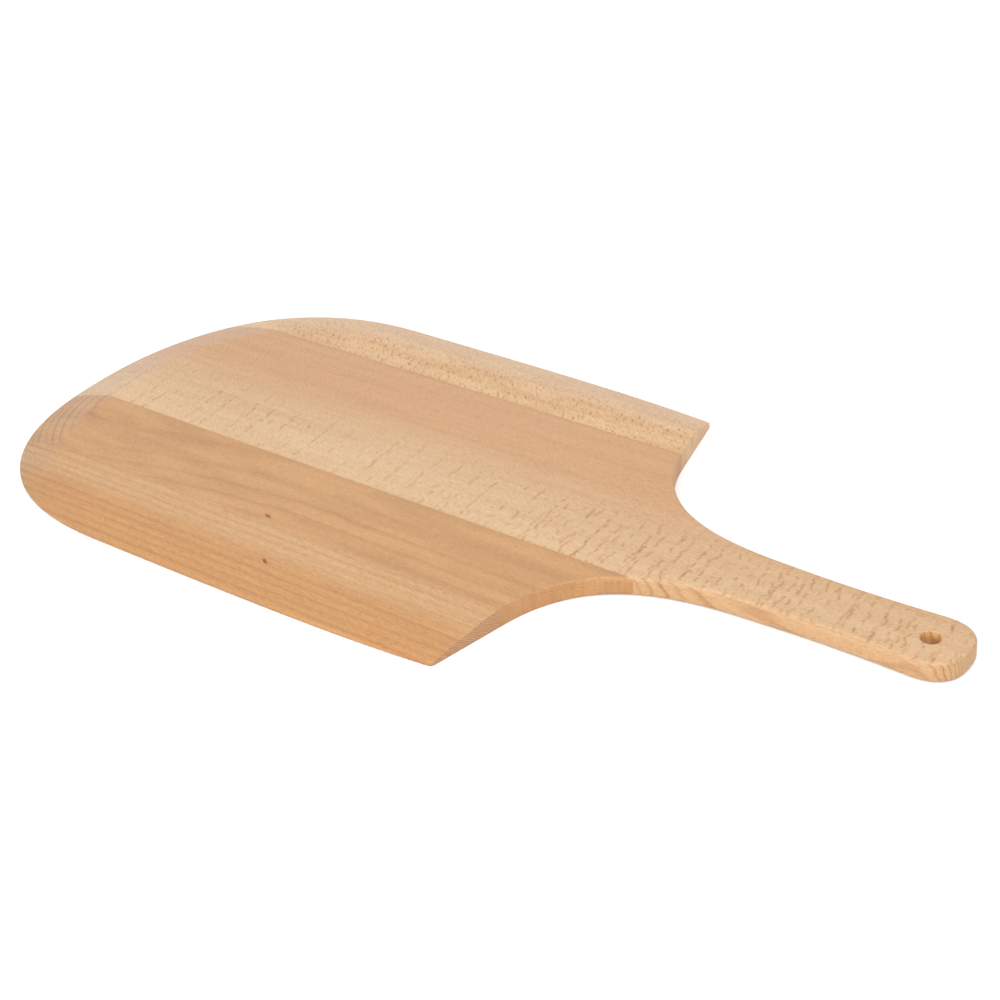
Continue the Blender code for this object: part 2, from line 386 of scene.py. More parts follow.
CREASES, EDGES = bevel_lines()
BEVEL_WIDTHS = nearest(CREASES, EDGES)[0]
EDGE_HEIGHTS = np.array(
    [NOSE_EDGE + (SIDE_EDGE - NOSE_EDGE) * smooth((x + BLADE_LENGTH) / NOSE_EDGE_FADE) for x in EDGES[:, 0]]
)


def past_crease(points):
    """Distance past the crease, negative on the flat, with the bevel's width and edge height there."""
    from_crease, place = nearest(points, CREASES)
    from_edge = nearest(points, EDGES)[0]
    indices = np.arange(len(EDGES))
    width = np.interp(place, indices, BEVEL_WIDTHS)
    edge_height = np.interp(place, indices, EDGE_HEIGHTS)
    on_bevel = from_crease / (from_crease + from_edge + NEVER_ZERO) * width
    return np.where(inside(points, CREASES), -from_crease, on_bevel), width, edge_height


def top_height(points):
    """Height of the upper face at places in plan, with the crease of the bevel softened.

    Across its width the bevel is a parabola, which stands proud of its chord by BEVEL_CROWN in the middle.
    """
    points = np.asarray(points, float)
    heights = np.full(len(points), float(THICKNESS))
    blade = points[:, 0] < BEVEL_RUN_PAST - MERGE_DISTANCE
    past, width, edge_height = past_crease(points[blade])
    slope = (THICKNESS - edge_height - 4 * BEVEL_CROWN) / width
    eased = np.clip(past + CREASE_SOFTNESS, 0, None) ** 2 / (4 * CREASE_SOFTNESS)
    ramp = np.where(past > CREASE_SOFTNESS, past, eased)
    share = np.clip(past / width, 0, None)
    heights[blade] -= slope * ramp + 4 * BEVEL_CROWN * share**2
    return heights


# ---------------------------------------------------------------- mesh

def edge_rings(points):
    """Rings of plan points and heights round the whole edge, from under the board up to the top face."""
    radii = np.array([edge_radius(point.x) for point in points])
    rings = []
    for extra in reversed(SUPPORT_INSETS):
        rings.append((inset(points, radii + extra), np.zeros(len(points))))
    quarter = [math.pi / 2 * step / EDGE_STEPS for step in range(EDGE_STEPS + 1)]
    for angle in quarter:
        rings.append((inset(points, radii * (1 - math.sin(angle))), radii * (1 - math.cos(angle))))
    for angle in reversed(quarter):
        place = inset(points, radii * (1 - math.sin(angle)))
        rings.append((place, top_height(place) - radii * (1 - math.cos(angle))))
    for extra in SUPPORT_INSETS:
        place = inset(points, radii + extra)
        rings.append((place, top_height(place)))
    return rings


def hole_rings():
    """Rings of the hanging hole, from under the board up to the top face, with eased rims."""
    profile = [(HOLE_RADIUS + HOLE_EASING + SUPPORT_INSETS[0], 0.0)]
    quarter = [math.pi / 2 * step / EDGE_STEPS for step in range(EDGE_STEPS + 1)]
    for angle in quarter:
        radius = HOLE_RADIUS + HOLE_EASING * (1 - math.sin(angle))
        profile.append((radius, HOLE_EASING * (1 - math.cos(angle))))
    profile += [(radius, THICKNESS - height) for radius, height in reversed(profile)]
    rings = []
    for radius, height in profile:
        turn = [2 * math.pi * index / HOLE_SIDES for index in range(HOLE_SIDES)]
        place = [Vector((HOLE_X + radius * math.cos(a), radius * math.sin(a))) for a in turn]
        rings.append((place, np.full(HOLE_SIDES, height)))
    return rings


def staggered_grid(low, high, spacing):
    """Points of a triangular grid over a rectangle."""
    points = []
    row_height = spacing * math.sqrt(3) / 2
    for row in range(int((high[1] - low[1]) / row_height) + 1):
        shift = spacing / 2 * (row % 2)
        for column in range(int((high[0] - low[0]) / spacing) + 1):
            points.append((low[0] + shift + column * spacing, low[1] + row * row_height))
    return np.array(points)


def clear_of(points, lines, gap):
    """Those points that keep a gap to every polyline."""
    keep = np.ones(len(points), bool)
    for line in lines:
        keep &= nearest(points, line)[0] > gap
    return points[keep]


def crease_lanes():
    """Points in lanes along the crease, close enough together to show it as a soft fold."""
    along = np.gradient(CREASES, axis=0)
    along /= np.linalg.norm(along, axis=1)[:, None]
    across = np.column_stack([-along[:, 1], along[:, 0]])
    return np.vstack([CREASES + across * lane for lane in CREASE_LANES])


def fill_points(boundary, spacing, top):
    """Points inside the boundary ring and clear of the hole at which a face is triangulated."""
    closed = np.vstack([boundary, boundary[:1]])
    hole = np.array([[HOLE_X, 0.0], [HOLE_X, MERGE_DISTANCE]])
    low, high = boundary.min(0), boundary.max(0)
    grid = clear_of(staggered_grid(low, high, spacing), [closed], spacing * GRID_MARGIN)
    if top:
        grid = grid[past_crease(grid)[0] < -CREASE_LANES[-1] - spacing / 2]
        fine = staggered_grid(low, (BEVEL_RUN_PAST, high[1]), BEVEL_GRID)
        fine = clear_of(fine, [closed], BEVEL_GRID * GRID_MARGIN)
        fine = fine[past_crease(fine)[0] > CREASE_LANES[-1] + BEVEL_GRID * GRID_MARGIN]
        lanes = clear_of(crease_lanes(), [closed], BEVEL_GRID * GRID_MARGIN)
        grid = np.vstack([grid, fine, lanes])
    grid = grid[inside(grid, boundary)]
    return clear_of(grid, [hole], HOLE_RADIUS + HOLE_EASING + spacing * GRID_MARGIN)


def triangulated(boundary, hole, extra):
    """Triangles between the boundary ring and the hole's ring, through the extra points."""
    places = [Vector(place) for place in np.vstack([boundary, hole, extra])]
    edges = [(index, (index + 1) % len(boundary)) for index in range(len(boundary))]
    start = len(boundary)
    edges += [(start + index, start + (index + 1) % len(hole)) for index in range(len(hole))]
    _, _, faces, sources, _, _ = delaunay_2d_cdt(places, edges, [], 1, TOLERANCE)
    triangles = [[sources[index][0] for index in face] for face in faces]
    in_hole = range(start, start + len(hole))
    return [corners for corners in triangles if not all(corner in in_hole for corner in corners)]


def add_ring(board, ring):
    """Vertices of one ring, moved from the shoulder line to its place in the model."""
    places, heights = ring
    return [board.verts.new((p[0] + SHOULDER_X, p[1], z)) for p, z in zip(places, heights)]


def join_rings(board, rings):
    """Quads between each two rings that follow each other."""
    for lower, upper in zip(rings, rings[1:]):
        count = len(lower)
        for index in range(count):
            after = (index + 1) % count
            board.faces.new((lower[index], lower[after], upper[after], upper[index]))


def add_face(board, outer, hole, spacing, top):
    """Triangulated upper or under face of the board between its edge and the hanging hole."""
    boundary = np.array([(v.co.x - SHOULDER_X, v.co.y) for v in outer])
    rim = np.array([(v.co.x - SHOULDER_X, v.co.y) for v in hole])
    extra = fill_points(boundary, spacing, top)
    heights = top_height(extra) if top else np.zeros(len(extra))
    verts = outer + hole + add_ring(board, (extra, heights))
    for triangle in triangulated(boundary, rim, extra):
        corners = [verts[index] for index in triangle]
        board.faces.new(corners if top else corners[::-1])


def whole_board():
    """The finished peel as one closed surface, before it is parted into staves."""
    board = bmesh.new()
    edge = [add_ring(board, ring) for ring in edge_rings(outline())]
    hole = [add_ring(board, ring) for ring in hole_rings()]
    join_rings(board, edge)
    join_rings(board, [ring[::-1] for ring in hole])
    add_face(board, edge[-1], hole[-1], FLAT_GRID, True)
    add_face(board, edge[0], hole[0], UNDER_GRID, False)
    bmesh.ops.remove_doubles(board, verts=board.verts, dist=MERGE_DISTANCE)
    bmesh.ops.recalc_face_normals(board, faces=board.faces)
    return board


def part_at(board, y, keep_above):
    """Saw the board along a joint, keep one side and close the sawn face."""
    geometry = board.verts[:] + board.edges[:] + board.faces[:]
    normal = (0, -1, 0) if keep_above else (0, 1, 0)
    made = bmesh.ops.bisect_plane(
        board, geom=geometry, dist=TOLERANCE, plane_co=(0, y, 0), plane_no=normal, clear_outer=True
    )
    sawn = [item for item in made["geom_cut"] if isinstance(item, bmesh.types.BMEdge)]
    bmesh.ops.triangle_fill(board, edges=sawn, use_beauty=True, normal=normal)


def add_stave(board, node, low, high, material):
    """One finished stave between two joint planes, in place of its CAD node."""
    wood = board.copy()
    if low is not None:
        part_at(wood, low + GLUE_LINE / 2, True)
    if high is not None:
        part_at(wood, high - GLUE_LINE / 2, False)
    bmesh.ops.recalc_face_normals(wood, faces=wood.faces)
    mesh = bpy.data.meshes.new("finished_" + node)
    wood.to_mesh(mesh)
    wood.free()
    mesh.shade_smooth()
    mesh.set_sharp_from_angle(angle=SHARP_ANGLE)
    mesh.materials.append(material)
    piece = bpy.data.objects.new("finished_" + node, mesh)
    bpy.context.collection.objects.link(piece)
    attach(piece, "root")
    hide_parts(node)


# ---------------------------------------------------------------- shader nodes

class Graph:
    """Shader nodes of one material, written as expressions. Lengths are in millimetres."""

    def __init__(self, name):
        self.material = bpy.data.materials.new(name)
        self.material.use_nodes = True
        self.nodes = self.material.node_tree.nodes
        self.links = self.material.node_tree.links
        self.shader = self.nodes["Principled BSDF"]
        coordinates = self.nodes.new("ShaderNodeTexCoord")
        scaled = self.vector_math("MULTIPLY", coordinates.outputs["Object"], (MILLIMETRES,) * 3)
        self.x, self.y, self.z = self.parts(scaled)
        self.normal = self.parts(coordinates.outputs["Normal"])

    def put(self, socket, value):
        """Link a socket to another or give it a plain value."""
        if isinstance(value, bpy.types.NodeSocket):
            self.links.new(value, socket)
        else:
            socket.default_value = value

    def math(self, operation, *values):
        """One Math node."""
        node = self.nodes.new("ShaderNodeMath")
        node.operation = operation
        for socket, value in zip(node.inputs, values):
            self.put(socket, value)
        return node.outputs[0]

    def add(self, *values):
        """Sum of all the values."""
        total = values[0]
        for value in values[1:]:
            total = self.math("ADD", total, value)
        return total

    def times(self, *values):
        """Product of all the values."""
        total = values[0]
        for value in values[1:]:
            total = self.math("MULTIPLY", total, value)
        return total

    def less(self, first, second):
        """The first value less the second."""
        return self.math("SUBTRACT", first, second)

    def without(self, share):
        """What a share from 0 to 1 leaves of the whole."""
        return self.less(1.0, share)

    def absolute(self, value):
        """The value without its sign."""
        return self.math("ABSOLUTE", value)

    def length(self, first, second):
        """Length of the hypotenuse over two sides."""
        return self.math("SQRT", self.add(self.times(first, first), self.times(second, second)))

    def vector_math(self, operation, *vectors):
        """One Vector Math node."""
        node = self.nodes.new("ShaderNodeVectorMath")
        node.operation = operation
        for socket, vector in zip(node.inputs, vectors):
            self.put(socket, vector)
        return node.outputs[0]

    def parts(self, vector):
        """X, Y and Z of a vector, or red, green and blue of a colour."""
        node = self.nodes.new("ShaderNodeSeparateXYZ")
        self.put(node.inputs[0], vector)
        return node.outputs[0], node.outputs[1], node.outputs[2]

    def point(self, x, y, z):
        """Vector of three values."""
        node = self.nodes.new("ShaderNodeCombineXYZ")
        for socket, value in zip(node.inputs, (x, y, z)):
            self.put(socket, value)
        return node.outputs[0]

    def cell(self, sizes, x=None, y=None, z=None, shift=0.0):
        """The place measured in cells of the given sizes, shifted along the peel to differ from others."""
        x = self.x if x is None else x
        y = self.y if y is None else y
        z = self.z if z is None else z
        along = self.add(self.times(x, 1 / sizes[0]), shift)
        return self.point(along, self.times(y, 1 / sizes[1]), self.times(z, 1 / sizes[2]))

    def noise(self, vector, detail=2.0, roughness=0.5):
        """Smooth noise from 0 to 1, about 0.5 on average."""
        node = self.nodes.new("ShaderNodeTexNoise")
        self.put(node.inputs["Vector"], vector)
        node.inputs["Scale"].default_value = 1
        node.inputs["Detail"].default_value = detail
        node.inputs["Roughness"].default_value = roughness
        return node.outputs["Fac"]

    def patches(self, sizes, detail=2.0, roughness=0.5, **place):
        """Noise in patches of about the given sizes along X, Y and Z."""
        return self.noise(self.cell(sizes, **place), detail, roughness)

    def swing(self, amount, sizes, shift=0.0):
        """Noise that swings about zero by the amount."""
        return self.times(self.less(self.patches(sizes, shift=shift), 0.5), 2 * amount)

    def rise(self, value, low, high):
        """Ease from 0 to 1 as the value goes from low to high; low may be the larger."""
        node = self.nodes.new("ShaderNodeMapRange")
        node.interpolation_type = "SMOOTHSTEP"
        self.put(node.inputs["Value"], value)
        backwards = low > high
        node.inputs["From Min"].default_value = min(low, high)
        node.inputs["From Max"].default_value = max(low, high)
        node.inputs["To Min"].default_value = 1.0 if backwards else 0.0
        node.inputs["To Max"].default_value = 0.0 if backwards else 1.0
        return node.outputs["Result"]

    def mix(self, factor, first, second, blend="MIX"):
        """Colour between two colours or, with another blend, one laid over the other."""
        node = self.nodes.new("ShaderNodeMix")
        node.data_type = "RGBA"
        node.blend_type = blend
        self.put(node.inputs["Factor"], factor)
        for socket, value in zip((node.inputs[6], node.inputs[7]), (first, second)):
            self.put(socket, (*value, 1.0) if isinstance(value, tuple) else value)
        return node.outputs[2]

    def tint(self, factor, colour, shade):
        """Multiply the colour by a shade, as far as the factor says."""
        return self.mix(factor, colour, shade, "MULTIPLY")

    def each_ring(self, rings):
        """A steady random number from 0 to 1 for each growth ring."""
        node = self.nodes.new("ShaderNodeTexWhiteNoise")
        node.noise_dimensions = "1D"
        self.put(node.inputs["W"], self.math("FLOOR", rings))
        return node.outputs["Value"]

    def ring_line(self, rings, width, peak):
        """Dark late wood of each growth ring: it builds up over the width and fades past the peak."""
        share = self.math("FRACT", rings)
        return self.times(self.rise(share, 1 - width, peak), self.rise(share, 1.0, peak))

    def uneven_ring_line(self, rings, width, peak, least):
        """Ring lines where each ring has a strength of its own, from the least to 1."""
        strength = self.add(self.times(self.each_ring(rings), 1 - least), least)
        return self.times(self.ring_line(rings, width, peak), strength)

    def dashes(self, size, width, length, lean, keep, shift=0.0, wobble=0.0):
        """Short soft strokes, one in some of the cells, with their lean in degrees from the Y axis.

        The larger the share to keep, the fewer cells stay empty. The wobble bends the rows of strokes.
        """
        x = self.add(self.x, self.swing(wobble, WOBBLE_PATCH, shift)) if wobble else self.x
        cells = self.cell((*size, DASH_DEPTH), x=x, shift=shift)
        node = self.nodes.new("ShaderNodeTexVoronoi")
        self.put(node.inputs["Vector"], cells)
        node.inputs["Scale"].default_value = 1
        offset = self.vector_math("SUBTRACT", cells, node.outputs["Position"])
        across, along, _ = self.parts(offset)
        across = self.times(across, size[0])
        along = self.times(along, size[1])
        sine, cosine = math.sin(math.radians(lean)), math.cos(math.radians(lean))
        turned_x = self.add(self.times(across, cosine), self.times(along, sine))
        turned_y = self.less(self.times(along, cosine), self.times(across, sine))
        stroke = self.times(self.rise(self.absolute(turned_x), width, 0.0),
                            self.rise(self.absolute(turned_y), length / 2, length / 6))
        chance, force, _ = self.parts(node.outputs["Color"])
        kept = self.rise(chance, 1 - keep, 1 - keep * 0.4)
        return self.times(stroke, kept, self.add(self.times(force, 0.7), 0.3))

    def finish(self, colour, thread, vessel):
        """Close the shader: colour, satin gloss that varies with the fibres, and fine relief."""
        self.put(self.shader.inputs["Base Color"], colour)
        gloss = self.add(self.times(thread, 0.2), self.times(vessel, 0.12), GLOSS_ROUGHNESS)
        self.put(self.shader.inputs["Roughness"], gloss)
        bump = self.nodes.new("ShaderNodeBump")
        bump.inputs["Strength"].default_value = RELIEF_STRENGTH
        bump.inputs["Distance"].default_value = RELIEF_HEIGHT
        self.put(bump.inputs["Height"], self.less(self.times(thread, 0.5), vessel))
        self.put(self.shader.inputs["Normal"], bump.outputs["Normal"])
        self.shader.inputs["Specular IOR Level"].default_value = SPECULAR
        return self.material


# ---------------------------------------------------------------- wood shared by the staves

def fibres(graph, lean, bend=0.0):
    """Fine grain of the wood: short threads that lean across the stave, and open vessel lines.

    The lean is how far the threads drift over in Y for each step in X; the bend changes it along the stave.
    """
    slant = graph.times(graph.x, graph.add(graph.times(graph.x, bend), lean))
    y = graph.add(graph.y, slant)
    thread = graph.patches(THREAD_SIZE, y=y, detail=3.0, roughness=0.75)
    vessel = graph.rise(graph.patches(VESSEL_SIZE, shift=3.7, detail=1.0), 0.56, 0.72)
    return thread, vessel


def grained(graph, colour, thread, vessel):
    """The colour with fine threads, vessels and broad soft streaks worked into it."""
    broad = graph.patches(STREAK_SIZE, shift=11.0)
    colour = graph.tint(graph.times(graph.rise(thread, 0.30, 0.72), 0.60), colour, FIBRE_SHADE)
    colour = graph.tint(graph.times(vessel, 0.36), colour, FIBRE_SHADE)
    return graph.tint(graph.times(graph.rise(broad, 0.35, 0.70), 0.12), colour, FIBRE_SHADE)


def flatness(graph):
    """1 on faces that look up or down, 0 on upright ones."""
    return graph.rise(graph.absolute(graph.normal[2]), 0.55, 0.95)


def end_grain(graph):
    """1 on faces that cut across the fibres."""
    return graph.rise(graph.absolute(graph.normal[0]), 0.45, 0.85)


def nose_bevel(graph):
    """1 on faces that lean towards the nose, as its bevel does: the mask of painted shade and sheen there,
    along with the darker cut across the fibres.
    """
    return graph.rise(graph.normal[0], -0.04, -0.20)


# ---------------------------------------------------------------- left stave

def left_rings(graph, out, flat, bevel, drift):
    """Dark lines of the left stave's growth rings, and the depth of its layers under the bevel's fold.

    On the flat the rings are nearly level and show as broad bands; down the bevel they show as stripes.
    """
    feather = graph.times(graph.swing(0.5, (22, 3.0, 4.0), shift=6.1), flat)
    turn = graph.times(graph.rise(graph.x, *LEFT_TURN), LEFT_TURN_WIDTH)
    bow = graph.add(out, turn, graph.swing(2.5, (60, 30, 60), shift=9.1), -LEFT_RING_MIDDLE)
    level = graph.add(graph.z, graph.times(bow, bow, -1 / LEFT_RING_CURVE), drift, feather)
    level_rings = graph.add(graph.times(level, 1 / LEFT_LEVEL_RING), 0.25)
    past_fold = graph.add(out, -LEFT_FOLD)
    depth = graph.add(graph.z, graph.times(past_fold, -LEFT_FOLD_SLOPE), graph.times(drift, 1.6))
    bevel_rings = graph.add(graph.times(depth, 1 / LEFT_BEVEL_RING), 0.4)
    on_flat = graph.uneven_ring_line(level_rings, width=0.45, peak=0.82, least=0.5)
    on_bevel = graph.uneven_ring_line(bevel_rings, width=0.65, peak=0.80, least=0.4)
    lines = graph.add(graph.times(on_flat, graph.without(bevel)), graph.times(on_bevel, bevel))
    return lines, depth


def left_colour(graph, out):
    """Red-brown in two tones, pale just past the bevel's fold and orange towards the edge."""
    patches = graph.patches((70, 16, 22), shift=2.0, detail=3.0)
    colour = graph.mix(graph.rise(patches, 0.35, 0.65), LEFT_DARK, LEFT_LIGHT)
    pale = graph.times(graph.rise(out, *LEFT_PALE_BEGINS), graph.rise(out, *LEFT_PALE_ENDS))
    colour = graph.mix(graph.times(pale, 0.85), colour, LEFT_PALE)
    orange = graph.times(graph.rise(out, *LEFT_ORANGE_BEGINS), graph.add(graph.times(patches, 0.8), 0.25))
    return graph.mix(orange, colour, LEFT_ORANGE)


def left_shoulder(graph, colour, bevel, upright, lines, drift):
    """The colour with the sawn end of the shoulder and the curved face from there to the neck."""
    sawn_end = graph.times(end_grain(graph), bevel)
    curved = graph.times(upright, graph.without(bevel))
    colour = graph.mix(graph.times(curved, 0.5), colour, LEFT_SIDE)
    colour = graph.mix(graph.times(sawn_end, graph.without(lines)), colour, LEFT_END)
    slanted = graph.add(graph.y, graph.times(graph.z, 1.4), drift)
    comb = graph.ring_line(graph.times(slanted, 1 / LEFT_COMB), 0.7, 0.75)
    colour = graph.tint(graph.times(comb, sawn_end), colour, SIDE_RING_SHADE)
    height = graph.add(graph.z, graph.times(graph.y, 0.10), graph.swing(0.5, (30, 30, 12), shift=3.0))
    layers = graph.ring_line(graph.times(height, 1 / LEFT_LAYER), 0.6, 0.8)
    ribs = graph.rise(graph.patches((1.3, 3.0, 40.0), shift=8.0, detail=1.0), 0.45, 0.66)
    colour = graph.tint(graph.times(curved, layers, 0.40), colour, SIDE_RING_SHADE)
    return graph.tint(graph.times(curved, ribs, 0.25), colour, SIDE_RING_SHADE)


def pin_knot(graph, x, y, radius):
    """Tiny dark knot, drawn out along the grain."""
    along = graph.times(graph.add(graph.x, -x, graph.swing(1.4, KNOT_PATCH)), 0.40)
    across = graph.add(graph.y, -y, graph.swing(1.1, KNOT_PATCH, shift=4.0))
    across = graph.add(across, graph.times(along, 0.8))
    return graph.rise(graph.length(along, across), radius, radius * 0.2)


def reddish_beech():
    """Left stave: flat-sawn, broad soft bands on the flat and close stripes down the bevel."""
    graph = Graph("beech_reddish")
    out = graph.times(graph.y, -1.0)
    flat = flatness(graph)
    upright = graph.without(flat)
    bevel = graph.rise(out, *LEFT_BEVEL_BEGINS)
    drift = graph.swing(0.7, (110, 60, 60), shift=1.3)
    lines, depth = left_rings(graph, out, flat, bevel, drift)
    thread, vessel = fibres(graph, lean=0.22)
    colour = left_colour(graph, out)
    at_nose = graph.times(graph.rise(graph.x, *LEFT_NOSE_BEGINS), 0.95)
    shown = graph.add(graph.times(upright, 0.2), at_nose, graph.times(bevel, 0.05), 0.50)
    colour = graph.tint(graph.times(lines, shown), colour, RING_SHADE)
    stripes = graph.patches((200, 3.4, 3.4), y=depth, z=0.0, shift=5.0, detail=3.0, roughness=0.6)
    striped = graph.add(graph.times(bevel, 0.30), graph.times(upright, 0.30))
    colour = graph.tint(graph.times(graph.rise(stripes, 0.42, 0.66), striped), colour, RING_SHADE)
    blush = graph.rise(graph.patches((30, 9, 20), shift=14.0, detail=3.0), 0.60, 0.72)
    colour = graph.mix(graph.times(blush, 0.35), colour, LEFT_BLUSH)
    colour = left_shoulder(graph, colour, bevel, upright, lines, drift)
    # Painted shade and sheen on the nose's bevel, along with its darker cut fibres
    colour = graph.tint(nose_bevel(graph), colour, LEFT_NOSE_CUT_GRAIN_AND_PAINTED_SHADE)
    colour = grained(graph, colour, thread, vessel)
    for x, y in PIN_KNOTS:
        halo = graph.times(pin_knot(graph, x, y, KNOT_HALO_RADIUS), 0.5)
        colour = graph.mix(halo, colour, KNOT_HALO)
        colour = graph.tint(pin_knot(graph, x, y, KNOT_RADIUS), colour, PITH_SHADE)
    return graph.finish(colour, thread, vessel)


# ---------------------------------------------------------------- middle stave

def middle_colour(graph, across):
    """Plain, paler towards the left stave and pinkish towards the right one, with long streaks."""
    pale = graph.rise(across, *MIDDLE_PALE_BEGINS)
    colour = graph.mix(pale, MIDDLE_PLAIN, MIDDLE_PALE)
    colour = graph.mix(graph.rise(across, *MIDDLE_PINK_BEGINS), colour, MIDDLE_PINK)
    streak = graph.patches((170, 6.0, 9.0), shift=6.0)
    colour = graph.tint(graph.rise(streak, 0.40, 0.70), colour, STREAK_SHADE)
    colour = graph.tint(graph.rise(graph.x, *HANDLE_BEGINS), colour, HANDLE_SHADE)
    # Painted shade and sheen on the nose's bevel, along with its darker cut fibres
    return graph.tint(nose_bevel(graph), colour, MIDDLE_NOSE_CUT_GRAIN_AND_PAINTED_SHADE)


def middle_rings(graph, colour, upright):
    """The colour with faint ring lines along the top and strong ones on the upright faces."""
    wander = graph.swing(2.0, (120, 18, 16))
    place = graph.add(graph.y, graph.times(graph.z, 0.12), wander)
    rings = graph.times(place, 1 / MIDDLE_RING)
    lines = graph.uneven_ring_line(rings, width=0.55, peak=0.85, least=0.5)
    patch = graph.rise(graph.patches((220, 12, 60), shift=8.0), 0.42, 0.60)
    colour = graph.mix(graph.times(upright, 0.6), colour, MIDDLE_SIDE)
    colour = graph.tint(graph.times(lines, patch, 0.30), colour, RING_SHADE)
    return graph.tint(graph.times(lines, upright, 0.95), colour, SIDE_RING_SHADE)


def cross_chains(graph, spacing, swing, shift):
    """Broken dark lines that wander across the grain, as rays do on quarter-sawn beech."""
    wander = graph.add(graph.swing(swing, (60, 11, 40), shift), graph.times(graph.y, 0.06))
    chains = graph.times(graph.add(graph.x, wander), 1 / spacing)
    offset = graph.times(graph.less(graph.math("FRACT", chains), 0.5), spacing)
    offset = graph.add(offset, graph.times(graph.less(graph.each_ring(chains), 0.5), spacing * 0.4))
    lane = graph.times(graph.math("FLOOR", chains), CHAIN_LANE_STEP)
    place = graph.point(lane, graph.times(graph.y, 1 / CHAIN_LINK), graph.times(graph.z, 0.03))
    links = graph.rise(graph.noise(place, detail=1.0), 0.40, 0.60)
    return graph.times(graph.rise(graph.absolute(offset), CHAIN_WIDTH, 0.0), links)


def middle_flecks(graph, colour, across, flat):
    """The colour with cross flecks on the pale half and the handle, and speckle next to the neck."""
    pale_half = graph.times(graph.rise(across, *FLECKS_END), flat)
    clusters = graph.rise(graph.patches((45, 26, 60), shift=17.0), 0.34, 0.62)
    chains = cross_chains(graph, spacing=19.0, swing=3.0, shift=2.2)
    scattered = graph.dashes((9.0, 8.0), width=1.35, length=8.5, lean=10, keep=0.60, wobble=0.9)
    short = graph.dashes((4.8, 4.2), width=1.0, length=4.6, lean=6, keep=0.62, shift=5.0)
    flecks = graph.add(chains, graph.times(scattered, 0.85), graph.times(short, 0.6))
    strength = graph.times(flecks, pale_half, graph.add(graph.times(clusters, 0.60), 0.40))
    colour = graph.tint(graph.math("MINIMUM", strength, 1.0), colour, FLECK_SHADE)
    wavy = cross_chains(graph, spacing=11.0, swing=6.5, shift=5.4)
    on_neck = graph.rise(graph.x, *WAVY_FLECKS_BEGIN)
    colour = graph.tint(graph.times(wavy, on_neck, pale_half, 0.95), colour, FLECK_SHADE)
    speckled = graph.times(graph.rise(across, *SPECKLE_BEGINS), graph.rise(across, *SPECKLE_ENDS))
    speckled = graph.times(speckled, graph.rise(graph.x, *SPECKLE_ALONG), flat)
    speckle = graph.dashes((4.0, 4.0), width=0.8, length=4.2, lean=38, keep=0.7, shift=3.0)
    return graph.tint(graph.times(speckle, speckled, 0.7), colour, FLECK_SHADE)


def hole_wall(graph):
    """1 inside the hanging hole, where painted light brightens the wall."""
    radius = HOLE_RADIUS * MILLIMETRES
    across = graph.add(graph.x, -(HOLE_X + SHOULDER_X) * MILLIMETRES)
    return graph.rise(graph.length(across, graph.y), radius + 0.4, radius)


def glue_line(graph, y, reach):
    """Darkening next to a glued joint."""
    return graph.rise(graph.absolute(graph.less(graph.y, y * MILLIMETRES)), reach, 0.0)


def middle_beech():
    """Middle stave: pale quarter-sawn wood with cross flecks, turning pinkish towards the right stave."""
    graph = Graph("beech_middle")
    thread, vessel = fibres(graph, lean=0.33, bend=-0.0008)
    flat = flatness(graph)
    across = graph.add(graph.y, graph.swing(9.0, (130, 24, 40)), graph.swing(7.0, (26, 3, 9)))
    colour = middle_colour(graph, across)
    colour = middle_rings(graph, colour, graph.without(flat))
    colour = middle_flecks(graph, colour, across, flat)
    colour = grained(graph, colour, thread, vessel)
    glue = graph.times(glue_line(graph, JOINT_HIGH, GLUE_REACH), 0.32)
    colour = graph.tint(glue, colour, GLUE_SHADE)
    # Painted light on the wall of the hanging hole
    colour = graph.tint(hole_wall(graph), colour, HOLE_PAINTED_LIGHT)
    return graph.finish(colour, thread, vessel)


# ---------------------------------------------------------------- right stave

def flecked_beech():
    """Right stave: golden wood, dense with small dark strokes on the flat and smoother on the bevel."""
    graph = Graph("beech_flecked")
    thread, vessel = fibres(graph, lean=0.6)
    flat = flatness(graph)
    streak = graph.patches((60, 9.0, 9.0), shift=4.0, detail=3.0)
    colour = graph.mix(graph.rise(streak, 0.35, 0.65), RIGHT_DARK, RIGHT_LIGHT)
    crease = CREASE_Y[1] * MILLIMETRES
    bevel = graph.times(graph.rise(graph.y, crease - 3.0, crease + 22.0), 0.55)
    colour = graph.mix(bevel, colour, RIGHT_BEVEL)
    small = graph.dashes((3.6, 3.4), width=0.95, length=4.6, lean=38, keep=0.95, shift=1.0)
    large = graph.dashes((7.0, 6.5), width=1.35, length=6.5, lean=33, keep=0.8, shift=7.0)
    strokes = graph.add(graph.times(small, 0.7), large)
    strokes = graph.times(strokes, flat, graph.without(bevel))
    colour = graph.tint(graph.math("MINIMUM", strokes, 1.0), colour, GOLDEN_FLECK_SHADE)
    colour = grained(graph, colour, thread, vessel)
    place = graph.add(graph.y, graph.times(graph.z, 0.8), graph.swing(1.4, (140, 18, 18)))
    lines = graph.ring_line(graph.times(place, 1 / RIGHT_RING), 0.6, 0.8)
    colour = graph.tint(graph.times(lines, graph.without(flat), 0.5), colour, SIDE_RING_SHADE)
    return graph.finish(colour, thread, vessel)


# What each stave is made of, and the joints that it lies between
STAVES = {
    "left_stave": (reddish_beech, None, JOINT_LOW),
    "middle_stave_with_handle": (middle_beech, JOINT_LOW, JOINT_HIGH),
    "right_stave": (flecked_beech, JOINT_HIGH, None),
}


# ---------------------------------------------------------------- stage

def direction(azimuth, elevation):
    """Unit vector that points to an azimuth and an elevation given in degrees."""
    azimuth, elevation = math.radians(azimuth), math.radians(elevation)
    flat = math.cos(elevation)
    return Vector((flat * math.cos(azimuth), flat * math.sin(azimuth), math.sin(elevation)))


